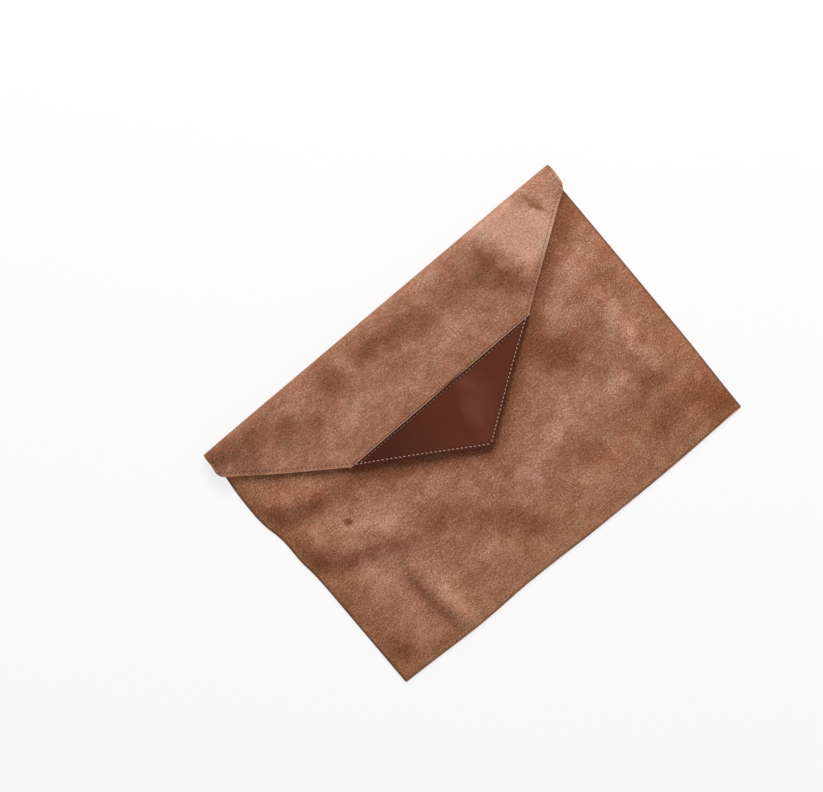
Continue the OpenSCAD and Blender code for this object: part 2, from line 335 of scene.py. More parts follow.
def flap_height(x, y):
    """Upper side of the flap's suede: its ends droop, its lower edge curls and its corners sag."""
    s = sizes()
    flat = HALF - DROOP
    out = abs(x) - flat
    droop = (FLAP_TOP - s.suede - FLAP_LOW) * within(out / (FLAP_HALF - flat)) ** 2
    down = within((ROOT - y) / (ROOT - POINT_Y))
    relief = ridge_height(FLAP_RIDGES, x, y) + ripple(x, y, 5.0) * 0.8
    gap = (y - flap_edge_y(x)) * SLANT
    curl = (1 - within(gap / CURL_REACH)) ** 2
    to_right = eased((x + 30 * MM) / (60 * MM))
    lift = s.edge_lift * (1 - 0.6 * to_right) * curl * (1 - 0.7 * eased(out / (40 * MM)))
    height = FLAP_TOP - droop + (max(relief, -0.5 * MM) + lift) * eased(down * 12)
    plies = s.suede + 2 * s.ply_gap + s.lining
    rest = max(front_height(x, y) + 0.9 * MM, FLAP_LOW - 0.6 * MM) + plies
    sag = eased(out / (26 * MM)) * (1 - eased(gap / SAG_REACH)) * eased((ROOT - y) / (11 * MM))
    return height - max(0.0, height - rest) * sag


def magnet_bump(x, y, height, radius):
    """Soft round bump of the magnet, x and y from its middle."""
    return height * math.exp(-((math.hypot(x, y) / radius) ** 4))


def tip_height(x, y):
    """Upper side of the leather tip."""
    s = sizes()
    bump = magnet_bump(x - MAGNET_MID.x, y - MAGNET_MID.y, *TIP_BUMP)
    return flap_height(x, y) + s.ply_gap + s.leather + bump


def flap_drift(x, y):
    """The flap lies askew: its point swings to the right, and its leather is drawn out and up."""
    f = within((ROOT - y) / (ROOT - POINT_Y)) * DRIFT_STEPS
    swing = (DRIFT_LEAN * f + DRIFT_BEND * f * f) * MM
    reach = TIP_RISE if y < SEAM_Y else flap_side_y() - SEAM_Y
    near = eased(1 - abs(y - SEAM_Y) / reach) * MM
    across = max(-1.0, min(1.0, x / TIP_HALF))
    return Vector((swing + (4.0 * across + 0.3) * near, (2.9 + 1.1 * across) * near, 0.0))


def on_pocket(x, y, z):
    """A point of the pocket, moved with its slack edges."""
    return Vector((x + side_shift(x, y), y + low_shift(x, y), z))


def on_front(x, y, depth=0.0):
    return on_pocket(x, y, front_height(x, y) - depth)


def on_flap(x, y, depth=0.0):
    return Vector((x + side_shift(x, y), y, flap_height(x, y) - depth)) + flap_drift(x, y)


def on_tip(x, y):
    return Vector((x, y, tip_height(x, y))) + flap_drift(x, y)


def down_flap(y):
    """Distance along the cut suede to a line across the flap."""
    return FLAP_START + ROOT - y


def wrapped(x, s, depth=0.0):
    """A point of the cut suede, s along it and depth below its outer side, bent round the fold."""
    if s <= BACK_RUN:
        y = BOTTOM + s
        rise = 0.9 * sizes().suede * rolled(min(HALF - abs(x), s))
        fade = 1 - eased((y - ROOT + 20 * MM) / (20 * MM))
        return on_pocket(x, y, depth + rise * fade)
    if s >= FLAP_START:
        return on_flap(x, ROOT - (s - FLAP_START), depth)
    radius = flap_height(x, ROOT) / 2
    lead = FOLD_Y - radius - ROOT
    arc = math.pi * radius
    run = (s - BACK_RUN) / FOLD_RUN * (arc + 2 * lead)
    shifted = x + side_shift(x, ROOT)
    if run < lead:
        return Vector((shifted, ROOT + run, depth))
    if run > lead + arc:
        return Vector((shifted, FOLD_Y - radius - (run - lead - arc), 2 * radius - depth))
    angle = (run - lead) / radius - math.pi / 2
    inner = radius - depth
    return Vector((shifted, FOLD_Y - radius + inner * math.cos(angle), radius + inner * math.sin(angle)))


# Sheets

# stretches of the fold as shares of its length, and the cells across each: closest where it bends
FOLD_CELLS = ((0.0, 0.18, 7), (0.18, 0.66, 52), (0.66, 1.0, 14))
TIP_CELL = 2.5 * MM
FLAP_LINING_CELL = FACING_CELL = 4 * MM
SUEDE_BEVEL, LEATHER_BEVEL, LINING_BEVEL, PATCH_BEVEL = 0.3 * MM, 0.22 * MM, 0.12 * MM, 0.1 * MM
CORNER_SEGMENTS = 5
# the bevel's distance from a corner, as a share of the corner's radius
CORNER_OFFSET = 0.7


def rectangle(half, low, high, radius):
    """Corners of a straight cut whose lower corners are rounded."""
    return [(-half, low, radius), (half, low, radius), (half, high, 0.0), (-half, high, 0.0)]


def mirrored(corners):
    return [(-x, y, radius) for x, y, radius in reversed(corners)]


def flap_cut(inset):
    """Corners of the flap's cut from its right side round the point to its left, and its length."""
    s = sizes()
    lap = s.leather_lap + inset
    point = down_flap(at_point(lap))
    right = [
        (FLAP_HALF - inset, down_flap(flap_side_y()), s.flap_corner),
        (at_seam(lap), down_flap(SEAM_Y), 0.0),
    ]
    return right + [(0.0, point, s.point_radius)] + mirrored(right), point


def stations(start, end, cell, folded):
    """Where a cut is divided along one axis; a folded cut has closer cells of its own in the fold."""
    count = max(1, round((end - start) / cell))
    even = [start + (end - start) * k / count for k in range(1, count)]
    if not folded:
        return even
    clear = [s for s in even if not BACK_RUN - MM < s < FLAP_START + MM]
    fold = [
        BACK_RUN + FOLD_RUN * (first + (last - first) * k / cells)
        for first, last, cells in FOLD_CELLS
        for k in range(cells)
    ]
    return clear + fold + [FLAP_START]


def keep_flat(bm):
    """Keeps the flat cut's own coordinates, in metres, as its UV map."""
    uv = bm.loops.layers.uv.new("flat")
    for face in bm.faces:
        face.smooth = True
        for loop in face.loops:
            loop[uv].uv = loop.vert.co.xy


def rounded_cut(corners, cell, start, end, folded=False):
    """A flat cut of hide or cloth: corners are (x, y, radius), the cells run from start to end."""
    bm = bmesh.new()
    points = [bm.verts.new((x, y, 0.0)) for x, y, _ in corners]
    bmesh.ops.contextual_create(bm, geom=points)
    for point, (_, _, radius) in zip(points, corners):
        if radius > 0:
            bmesh.ops.bevel(
                bm, geom=[point], offset=radius * CORNER_OFFSET, offset_type="OFFSET", affect="VERTICES",
                segments=CORNER_SEGMENTS, profile=0.5, material=-1,
            )
    for axis, normal in enumerate((Vector((1, 0, 0)), Vector((0, 1, 0)))):
        for station in stations(start[axis], end[axis], cell, folded and axis == 1):
            bmesh.ops.bisect_plane(
                bm, geom=bm.verts[:] + bm.edges[:] + bm.faces[:], dist=1e-5,
                plane_co=normal * station, plane_no=normal,
            )
    bmesh.ops.remove_doubles(bm, verts=bm.verts[:], dist=0.08 * MM)
    bm.normal_update()
    if sum(face.normal.z for face in bm.faces) < 0:
        bmesh.ops.reverse_faces(bm, faces=bm.faces[:])
    keep_flat(bm)
    return bm


def linked(name, data):
    obj = bpy.data.objects.new(name, data)
    bpy.context.scene.collection.objects.link(obj)
    return obj


def mesh_object(name, bm, materials):
    mesh = bpy.data.meshes.new(name)
    bm.to_mesh(mesh)
    bm.free()
    for material in materials:
        mesh.materials.append(material)
    return linked(name, mesh)


def sheet_object(name, bm, place, thickness, materials, turned=False, nap=None, bevel=SUEDE_BEVEL):
    """Lays a flat cut in place, thickens it and softens its edges; gives the object and its flat area."""
    area = sum(face.calc_area() for face in bm.faces)
    if nap:
        # the nap value also holds painted light and painted shade for the front and the flap
        layer = bm.verts.layers.float.new("nap")
        for vert in bm.verts:
            vert[layer] = nap(vert.co.x, vert.co.y)
    for vert in bm.verts:
        vert.co = place(vert.co.x, vert.co.y)
    if turned:
        bmesh.ops.reverse_faces(bm, faces=bm.faces[:])
    bm.normal_update()
    obj = mesh_object(name, bm, materials)
    shell = obj.modifiers.new("thickness", "SOLIDIFY")
    shell.thickness = thickness
    shell.offset = -1.0
    shell.use_even_offset = True
    shell.material_offset_rim = len(materials) - 1
    soft = obj.modifiers.new("cut edge", "BEVEL")
    soft.width = bevel
    soft.segments = 2
    soft.limit_method = "ANGLE"
    soft.angle_limit = math.radians(55)
    settle(obj)
    return obj, area


def settle(obj):
    """Applies an object's modifiers to its mesh."""
    graph = bpy.context.evaluated_depsgraph_get()
    done = bpy.data.meshes.new_from_object(
        obj.evaluated_get(graph), preserve_all_data_layers=True, depsgraph=graph
    )
    obj.modifiers.clear()
    done.name = obj.name
    obj.data = done
    done.shade_smooth()


def bend_with_flap(obj):
    """Bakes the piece's placement into its mesh.
    """
    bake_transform(obj)


# Stitches

# stitches made in one small mesh, because the sphere operator slows down as its mesh grows
STITCH_LOT = 8
HOLE_SLOT = 1


def grain(bm, place, axes, size, around, along):
    """One rounded grain of thread or shadow."""
    matrix = Matrix.Translation(place) @ axes @ Matrix.Diagonal((*size, 1.0))
    return bmesh.ops.create_uvsphere(
        bm, u_segments=around, v_segments=along, radius=0.5, matrix=matrix, calc_uvs=True
    )


def thread_mesh():
    bm = bmesh.new()
    bm.loops.layers.uv.new("thread")
    return bm


def stitch_row(bm, start, end, on, below=False):
    """Even stitches between two flat points: plump grains of thread, and painted shadow grains at the needle
    holes.
    """
    s = sizes()
    pitch, length, thick = s.stitch_pitch, s.stitch_length, s.thread
    run = (end - start).length
    count = int((run - length) / pitch) + 1
    first = (run - (count - 1) * pitch - length) / 2
    along = (end - start).normalized()
    side = Vector((-along.y, along.x)) * MM
    half_gap = along * ((pitch - length) / 2)
    hole_size = (thick, thick * 0.24, (pitch - length) * 1.05)
    kept = bpy.data.meshes.new("lot")
    for lot_start in range(0, count, STITCH_LOT):
        lot = thread_mesh()
        for k in range(lot_start, min(lot_start + STITCH_LOT, count)):
            a = start + along * (first + k * pitch)
            b = a + along * length
            mid = start + along * (first + k * pitch + length / 2)
            ahead = (on(*b) - on(*a)).normalized()
            across = (on(*(mid + side)) - on(*(mid - side))).normalized()
            up = across.cross(ahead) * -1
            up = up if (up.z > 0) != below else -up
            wobble = noise.noise(Vector((mid.x * 900, mid.y * 900, 2.0)))
            across = (across + ahead * wobble * 0.06).normalized()
            axes = Matrix((across, up, ahead)).transposed().to_4x4()
            size = (thick, thick * 0.85, length * (1.0 + wobble * 0.05))
            grain(lot, on(*mid) + up * thick * 0.12, axes, size, 8, 6)
            holes = [b + half_gap] if k else [a - half_gap, b + half_gap]
            for hole in holes:
                made = grain(lot, on(*hole) + up * 0.02 * MM, axes, hole_size, 6, 4)
                for face in {face for vert in made["verts"] for face in vert.link_faces}:
                    face.material_index = HOLE_SLOT
        lot.to_mesh(kept)
        lot.free()
        bm.from_mesh(kept)
    bpy.data.meshes.remove(kept)


def flipped(row):
    """A row of stitches on the other side of the sleeve."""
    return [Vector((-point.x, point.y)) for point in row]


def level_row(half, y):
    return [Vector((-half, y)), Vector((half, y))]


# Finishes


def operator_pair(operation):
    """An operator that adds a Math node, and its reflected form."""

    def forward(self, other):
        return self.math(operation, other)

    def reflected(self, other):
        return self.finish.node("ShaderNodeMath", {"operation": operation}, {0: other, 1: self})

    return forward, reflected


class Value:
    """A shader socket that Python's operators extend with Math nodes."""

    def __init__(self, finish, socket):
        self.finish = finish
        self.socket = socket

    def math(self, operation, *others):
        inputs = dict(enumerate((self, *others)))
        return self.finish.node("ShaderNodeMath", {"operation": operation}, inputs)

    __add__, __radd__ = operator_pair("ADD")
    __sub__, __rsub__ = operator_pair("SUBTRACT")
    __mul__, __rmul__ = operator_pair("MULTIPLY")
    __truediv__, __rtruediv__ = operator_pair("DIVIDE")
    __pow__, __rpow__ = operator_pair("POWER")

    def __neg__(self):
        return self * -1.0

    def __abs__(self):
        return self.math("ABSOLUTE")

    def least(self, other):
        return self.math("MINIMUM", other)

    def most(self, other):
        return self.math("MAXIMUM", other)

    def swing(self, reach):
        """A cloud's value about its middle, times reach."""
        return (self - 0.5) * reach

    def band(self, low, high):
        """0 at low, 1 at high, eased between them."""
        return self.finish.node(
            "ShaderNodeMapRange",
            {"interpolation_type": "SMOOTHSTEP"},
            {"Value": self, "From Min": low, "From Max": high},
        )

    def bump_line(self, centre, width):
        """1 on a line at that distance, fading over its width."""
        return 1 - abs(self - centre).band(0.0, width)


class Finish:
    """A material or a world and the nodes that make it."""

    def __init__(self, name, kind="materials"):
        self.made = getattr(bpy.data, kind).new(name)
        self.made.use_nodes = True
        self.tree = self.made.node_tree
        self.tree.nodes.clear()

    def node(self, kind, settings=None, inputs=None, out=0):
        """Adds a node with its settings, and its inputs as values or links."""
        made = self.tree.nodes.new(kind)
        for key, value in (settings or {}).items():
            if key == "stops":
                ramp = made.color_ramp
                while len(ramp.elements) < len(value):
                    ramp.elements.new(0.5)
                for element, (position, colour) in zip(ramp.elements, value):
                    element.position = position
                    element.color = (*colour, 1.0)
            else:
                setattr(made, key, value)
        for key, value in (inputs or {}).items():
            if isinstance(value, Value):
                self.tree.links.new(value.socket, made.inputs[key])
            else:
                made.inputs[key].default_value = value
        return Value(self, made.outputs[out]) if made.outputs else None

    def seen(self):
        """1 where the camera, a gloss or a clear body looks at this, 0 for the light it sends."""
        path = self.node("ShaderNodeLightPath").socket.node.outputs
        rays = ("Is Camera Ray", "Is Glossy Ray", "Is Transmission Ray")
        eye, gloss, clear = (Value(self, path[ray]) for ray in rays)
        return eye.most(gloss).most(clear)

    def flat(self):
        """The flat cut's own coordinates, in metres."""
        return self.node("ShaderNodeUVMap", {"uv_map": "flat"})

    def local(self):
        return self.node("ShaderNodeTexCoord", out="Object")

    def parts(self, vector):
        split = self.node("ShaderNodeSeparateXYZ", None, {0: vector})
        return [Value(self, output) for output in split.socket.node.outputs]

    def scaled(self, vector, scale, turn=0.0):
        inputs = {"Vector": vector, "Scale": scale, "Rotation": (0.0, 0.0, math.radians(turn))}
        return self.node("ShaderNodeMapping", None, inputs)

    def cloud(self, vector, scale, detail=3.0, roughness=0.5, distortion=0.0):
        """Soft noise, with scale as its spots to a metre."""
        names = ("Vector", "Scale", "Detail", "Roughness", "Distortion")
        inputs = dict(zip(names, (vector, scale, detail, roughness, distortion)))
        return self.node("ShaderNodeTexNoise", {"noise_dimensions": "3D"}, inputs)

    def mixed(self, share, first, second, how="MIX"):
        inputs = {0: share, 6: self.colour(first), 7: self.colour(second)}
        return self.node("ShaderNodeMix", {"data_type": "RGBA", "blend_type": how}, inputs, out=2)

    @staticmethod
    def colour(value):
        return value if isinstance(value, Value) else (*value, 1.0)

    def bump(self, height, distance, strength=1.0):
        inputs = {"Height": height, "Distance": distance, "Strength": strength}
        return self.node("ShaderNodeBump", None, inputs)

    def surface(self, **sockets):
        """Ends the material in one shader with these sockets."""
        names = {key.replace("_", " ").title().replace("Ior", "IOR"): sockets[key] for key in sockets}
        shader = self.node("ShaderNodeBsdfPrincipled", None, names)
        self.node("ShaderNodeOutputMaterial", None, {"Surface": shader})
        return self.made


def suede_finish(name, border=None, grit=(1.6, 1.15), warmth=(1.0, 1.0, 1.0), stain=None):
    """Brushed suede whose broad tone follows the nap and the painted light and painted shade stored with it.

    border adds what shows along the edges, grit is the strength of grain and specks, warmth tints the dark
    nap and stain places a small dark spot.
    """
    c = colours()
    f = Finish(name)
    flat = f.flat()
    x, y, _ = f.parts(flat)
    # nap together with painted light and painted shade
    nap = f.node("ShaderNodeAttribute", {"attribute_name": "nap"}, out="Fac")
    broad = f.cloud(flat, 24.0, 4.0, 0.55, 0.6)
    patch = f.cloud(flat, 75.0, 6.0, 0.66, 0.35)
    streak = f.cloud(f.scaled(flat, (70.0, 260.0, 1.0), 28.0), 1.0, 3.0, 0.5)
    fleck = f.cloud(f.scaled(flat, (150.0, 330.0, 1.0), -32.0), 1.0, 5.0, 0.72)
    coarse = f.cloud(flat, 560.0, 3.0, 0.7)
    speck = f.cloud(flat, 1100.0, 2.0, 0.6)
    mark = (nap + patch.swing(1.5) + broad.swing(0.45)).band(-1.1, 1.1) - 0.5
    tone = 0.485 + mark * 0.8 + streak.swing(0.26) + fleck.swing(0.4)
    tone = tone + coarse.swing(grit[0]) + speck.swing(grit[1])
    if stain:
        dx, dy = x - stain[0], y - stain[1]
        away = (dx * dx + dy * dy) ** 0.5 + fleck.swing(5 * MM)
        tone = tone - (1 - away.band(1.5 * MM, 5.0 * MM)) * 0.6
    dark = tuple(a * b for a, b in zip(c.suede_dark, warmth))
    pale = tuple(a + (a - b) / 3 for a, b in zip(c.suede_light, c.suede_mid))
    shades = (toned(dark, 0.75), dark, c.suede_mid, c.suede_light, pale)
    stops = tuple(zip((0.0, 0.125, 0.5, 0.875, 1.0), shades))
    colour = f.node("ShaderNodeValToRGB", {"stops": stops}, {"Fac": tone * 0.75 + 0.125})
    redder, greener = (1.04, 0.98, 0.99), (0.97, 1.015, 1.0)
    blush = f.mixed(f.cloud(flat, 48.0, 4.0, 0.6).band(0.35, 0.65), redder, greener)
    colour = f.mixed(1.0, colour, blush, "MULTIPLY")
    height = coarse * 0.8 + speck * 0.45 + patch * 0.9
    if border:
        colour, height = border(f, x, y, colour, height)
    return f.surface(
        base_color=colour,
        roughness=0.95,
        specular_ior_level=0.12,
        sheen_weight=0.1,
        sheen_roughness=0.45,
        sheen_tint=(0.9, 0.62, 0.48, 1.0),
        normal=f.bump(height, 0.3 * MM, 0.9),
    )


def pocket_border(f, x, y, colour, height):
    """The front is tanned by handling towards its left, lower and outer edges, and worn at the rim."""
    rim = (HALF - abs(x)).least(y - BOTTOM)
    from_left = (x + HALF) / (70 * MM)
    from_below = (y - BOTTOM) / (75 * MM)
    inside = from_left.least(from_below).least(rim / (12 * MM))
    tan = (1.09, 0.985, 0.82)
    colour = f.mixed((1 - inside.band(0.0, 1.0)) * 0.85, colour, tan, "MULTIPLY")
    worn = (1 - rim.band(0.6 * MM, 3.4 * MM)) * 0.75
    return f.mixed(worn, colour, colours().worn_rim), height


def flap_border(f, x, s, colour, height):
    """Painted highlight at the flap's cut edge, dips and painted shade along its stitches, painted shadow at
    the leather's upper edge.
    """
    c = colours()
    edge = flap_edge(x, s)
    # painted highlight along the rounded cut edge
    colour = f.mixed((1 - edge.band(0.2 * MM, 1.5 * MM)) * 0.4, colour, c.flap_rim_highlight)
    line = edge.bump_line(sizes().edge_inset, 1.4 * MM)
    # a little painted shade in the stitch groove
    colour = f.mixed(line * 0.06, colour, c.suede_dark)
    # painted shadow on the suede at the leather's upper edge
    foot_shadow = s.bump_line(down_flap(SEAM_Y) - 0.5 * MM, 0.9 * MM)
    foot_shadow = foot_shadow * (1 - abs(x).band(TIP_HALF - 4 * MM, TIP_HALF - 2 * MM))
    colour = f.mixed(foot_shadow * 0.7, colour, toned(c.suede_dark, 0.5))
    return colour, height - line * 0.9


def flap_edge(x, s):
    """Distance from the flap's cut edges, on the flat cut."""
    lap = sizes().leather_lap
    side = (FLAP_HALF, down_flap(flap_side_y()))
    seam = (at_seam(lap), down_flap(SEAM_Y))
    point = (0.0, down_flap(at_point(lap)))
    across = abs(x)
    found = FLAP_HALF - across
    for a, b in ((side, seam), (seam, point)):
        run = math.hypot(b[0] - a[0], b[1] - a[1])
        nx, ny = (b[1] - a[1]) / run, (a[0] - b[0]) / run
        found = found.least((nx * a[0] + ny * a[1]) - across * nx - s * ny)
    off_flap = 1 - s.band(FLAP_START - 4 * MM, FLAP_START)
    return found + off_flap * 0.1


def cut_edge_finish(name, light, dark):
    """Raw cut edge: fibres along the cut."""
    f = Finish(name)
    flat = f.flat()
    fibre = f.cloud(flat, 900.0, 3.0, 0.6)
    broad = f.cloud(flat, 120.0, 2.0, 0.5)
    colour = f.mixed((fibre * 0.7 + broad * 0.3).band(0.3, 0.7), dark, light)
    return f.surface(
        base_color=colour, roughness=0.9, specular_ior_level=0.2, normal=f.bump(fibre, 0.15 * MM, 0.8)
    )


def suede_cut():
    """The suede's raw edge, made once."""
    c = colours()
    made = bpy.data.materials.get("suede_cut")
    return made or cut_edge_finish("suede_cut", c.suede_light, c.suede_mid)


def oval(x, y, at, half, lean):
    """Squared distance from the middle of a leaning oval, one at its rim; sizes in millimetres."""
    up = y - at[1] * MM
    across = (x - at[0] * MM - up * lean) / (half[0] * MM)
    along = up / (half[1] * MM)
    return across * across + along * along


def leather_finish():
    """Smooth leather with a fine grain, rubbed lighter over the magnet."""
    c = colours()
    f = Finish("smooth_leather")
    flat = f.flat()
    x, y, _ = f.parts(flat)
    pore = f.node(
        "ShaderNodeTexVoronoi", {"feature": "F1"}, {"Vector": flat, "Scale": 1250.0, "Randomness": 1.0}
    )
    crease = f.cloud(flat, 420.0, 3.0, 0.55)
    broad = f.cloud(flat, 34.0, 4.0, 0.6, 0.8)
    rub = 1 - oval(x, y, (16, 12), (13, 30), 0.3).band(0.0, 2.4)
    rub = rub * (0.6 + broad.band(0.2, 0.8) * 0.4)
    smear = 1 - oval(x, y, (20, 36), (7, 19), -0.35).band(0.0, 1.0)
    smear = smear.most(1 - oval(x, y, (10, 13), (12, 18), 0.25).band(0.0, 1.0))
    from_seam = SEAM_Y - y
    from_lower = (TIP_RISE * TIP_HALF - abs(x) * TIP_RISE + (y - SEAM_Y) * TIP_HALF) / TIP_SLANT
    shade = broad.swing(0.5) + crease.swing(0.18) + rub * 0.62 + 0.30 + x * 2.2
    colour = f.mixed(shade.band(0.0, 1.0), c.leather, c.leather_light)
    colour = f.mixed(smear * 0.38, colour, c.leather_smear)
    deep = toned(c.leather, 0.55)
    colour = f.mixed((-x).band(10 * MM, 85 * MM) * 0.9, colour, deep)
    worn = (1 - from_lower.least(from_seam).band(0.0, 7 * MM)) * 0.55
    colour = f.mixed(worn, colour, deep)
    # painted shade in the groove below the leather's raw upper edge
    furrow_shade = from_seam.bump_line(1.5 * MM, 0.9 * MM)
    colour = f.mixed(furrow_shade * 0.8, colour, toned(c.leather, 0.3))
    raw = 1 - from_seam.band(0.55 * MM, 0.95 * MM)
    raw = raw * (1 - x.bump_line(12 * MM, 26 * MM) * 0.85)
    colour = f.mixed(raw * (0.7 + crease * 0.4), colour, c.cut_edge)
    lower_line = from_lower.bump_line(sizes().tip_inset, 1.5 * MM)
    line = lower_line.most(from_seam.bump_line(sizes().seam_inset, 1.4 * MM))
    height = pore * 0.25 + crease * 0.55 + broad * 0.8 - line * 2.2
    return f.surface(
        base_color=colour,
        roughness=(0.48 - rub * 0.06) + crease.swing(0.12),
        specular_ior_level=0.08,
        normal=f.bump(height, 0.16 * MM, 0.6),
    )


def lining_finish():
    """Plain woven lining: threads over and under along both ways of the cut."""
    c = colours()
    f = Finish("woven_lining")
    flat = f.flat()
    x, y, _ = f.parts(flat)
    per_metre = 2 * math.pi / (0.9 * MM)
    weave = (x * per_metre).math("SINE") * (y * per_metre).math("SINE") * 0.5 + 0.5
    slub = f.cloud(f.scaled(flat, (30.0, 900.0, 1.0)), 1.0, 2.0, 0.5)
    soft = f.cloud(flat, 26.0, 4.0, 0.6, 0.5)
    crease = f.cloud(f.scaled(flat, (22.0, 60.0, 1.0), 12.0), 1.0, 3.0, 0.55, 0.9)
    tone = weave * 0.5 + slub.swing(0.9) + soft.swing(0.6)
    return f.surface(
        base_color=f.mixed(tone.band(-0.1, 0.9), toned(c.lining, 0.62), toned(c.lining, 1.35)),
        roughness=0.85,
        specular_ior_level=0.2,
        sheen_weight=0.15,
        normal=f.bump(weave + slub * 0.6 + crease * 9.0, 0.12 * MM, 0.7),
    )


def thread_finish(name, colour):
    """Twisted sewing thread: the twist follows the stitch's own coordinates."""
    f = Finish(name)
    u, v, _ = f.parts(f.node("ShaderNodeUVMap", {"uv_map": "thread"}))
    twist = ((u * 2.0 + v * 3.5) * (2 * math.pi)).math("SINE") * 0.5 + 0.5
    fuzz = f.cloud(f.local(), 2600.0, 2.0, 0.6)
    tone = twist * 0.5 + fuzz * 0.5
    return f.surface(
        base_color=f.mixed(tone.band(0.1, 0.75), toned(colour, 0.62), colour),
        roughness=0.8,
        specular_ior_level=0.15,
        sheen_weight=0.05,
        normal=f.bump(twist, 0.12 * MM, 0.7),
    )


def hole_finish():
    """The shadow in a needle hole."""
    c = colours()
    f = Finish("needle_hole_shadow")
    shade = f.cloud(f.local(), 1400.0, 2.0, 0.5)
    colour = f.mixed(shade.band(0.3, 0.7), toned(c.needle_hole_shadow, 0.7), c.needle_hole_shadow)
    return f.surface(base_color=colour, roughness=1.0, specular_ior_level=0.0)


def magnet_finish():
    c = colours()
    f = Finish("plated_disc")
    brushed = f.cloud(f.scaled(f.local(), (60.0, 2200.0, 60.0)), 1.0, 2.0, 0.5)
    return f.surface(
        base_color=f.mixed(brushed.band(0.3, 0.7), toned(c.magnet, 0.85), c.magnet),
        metallic=1.0,
        roughness=0.28 + brushed * 0.12,
        normal=f.bump(brushed, 0.02 * MM, 0.4),
    )


# Brushed nap, painted light and painted shade

# marks in millimetres: place, radius along and across, turn in degrees, and strength, below 0 darker
# besides nap, the front's marks hold painted light and painted shade of its ridges and a painted shadow of
# the flap
FRONT_NAP_AND_SHADING = (
    (-146, 43, 12, 8, 0, -0.9), (-181, 46, 10, 14, 0, -0.4), (-120, 34, 18, 8, -19, -0.3),
    (-181, 17, 8, 12, 0, -0.3), (-179, -3, 9, 9, 0, -0.6), (-135, -25, 34, 6, -19, -0.35),
    (-127, 4, 26, 8, -19, 0.45), (-102, -8, 15, 9, 0, 0.4), (-163, 22, 12, 8, 0, 0.4),
    (-154, -52, 20, 26, 0, 0.4), (-126, -95, 5, 30, 0, -0.45), (-106, -103, 9, 30, 0, 0.45),
    (-178, -111, 12, 15, 0, -0.55), (-141, -130, 10, 8, 0, -0.6), (-150, -104, 12, 18, 0, 0.3),
    (-84, 21, 34, 8, -33, -0.9), (-75, -40, 20, 11, -20, -0.5), (-60, -16, 16, 9, 0, 0.3),
    (-44, -66, 16, 11, 0, -0.4), (-20, -90, 24, 10, -40, -0.6), (-60, -92, 14, 12, 0, 0.3),
    (0, -50, 7, 6, 0, -0.6), (16, -58, 20, 10, 20, 0.4), (96, 9, 27, 12, -55, -1.1),
    (80, 0, 9, 7, 0, -0.5), (56, -42, 20, 9, 20, 0.3), (82, -36, 26, 8, 25, 0.3),
    (119, -48, 20, 10, 0, 0.4), (63, -76, 16, 10, -30, -0.4), (45, -102, 18, 10, 0, 0.3),
    (146, 54, 18, 13, 0, 0.5), (174, 63, 13, 11, 0, 0.5), (122, 36, 14, 12, 0, 0.5),
    (153, -14, 8, 42, 0, 0.6), (174, 28, 8, 14, 0, -0.3), (169, 91, 9, 7, 0, -0.8),
    (187, 101, 6, 8, 0, -0.8), (146, -68, 14, 7, 0, -0.6), (154, -96, 14, 9, 0, -0.4),
    (129, -105, 16, 8, 0, -0.4), (174, -98, 10, 9, 0, -0.5), (180, -118, 14, 13, 0, -0.8),
    (110, -88, 14, 9, 0, -0.2),
)
# besides nap, the flap's bright marks at its upper right are a painted pool of light
FLAP_NAP_AND_SHADING = (
    (146, 110, 32, 24, 0, 1.1), (184, 121, 16, 18, 0, 0.3), (122, 131, 20, 9, 0, 0.6),
    (150, 92, 16, 14, 0, 0.9), (165, 117, 14, 5, -61, -1.2), (97, 106, 12, 9, 0, -0.7),
    (104, 84, 22, 11, -60, -0.75), (68, 104, 16, 9, 0, -0.3), (1, 111, 36, 9, -6, -0.65),
    (-28, 113, 13, 9, 0, -0.5), (22, 96, 12, 6, 0, -0.3), (-67, 113, 12, 16, 0, -0.55),
    (-123, 104, 14, 10, 0, -0.5), (-154, 119, 17, 9, 0, -0.6), (-187, 131, 14, 10, 0, -0.6),
    (-97, 92, 10, 8, 0, -0.3), (-59, 82, 20, 9, 0, 0.4), (-86, 74, 20, 9, 0, 0.3),
    (-100, 126, 13, 8, 0, 0.3), (-48, 116, 5, 18, 10, 0.5), (46, 80, 22, 10, 0, 0.4),
    (-10, 64, 40, 9, 0, 0.25), (48, 128, 22, 7, 0, 0.3), (-150, 96, 14, 7, 0, 0.15),
)
FACING_NAP = -0.3
STAIN = (-0.1373, 0.0096)


def stray(x, y, fineness, reach):
    """A smooth sideways drift of a point, up to about reach both ways and the same on each run."""
    place = Vector((x * fineness, y * fineness, fineness + 0.37))
    return Vector((noise.noise(place), noise.noise(place + Vector((17.3, 41.7, 29.5))))) * reach


def nap_and_shading_marks(marks, x, y):
    """How the marks tone a point, nap together with painted light and shade: below 0 darker, above 0
    lighter.
    """
    bend = stray(x, y, 30, 6) + stray(x, y, 80, 6) + stray(x, y, 190, 2.5)
    px, py = x / MM + bend.x, y / MM + bend.y
    total = 0.0
    for cx, cy, along, across, turn, strength in marks:
        c, s = math.cos(math.radians(turn)), math.sin(math.radians(turn))
        u, v = (px - cx) * c + (py - cy) * s, (py - cy) * c - (px - cx) * s
        total += strength * math.exp(-((u / along) ** 2 + (v / across) ** 2))
    return total


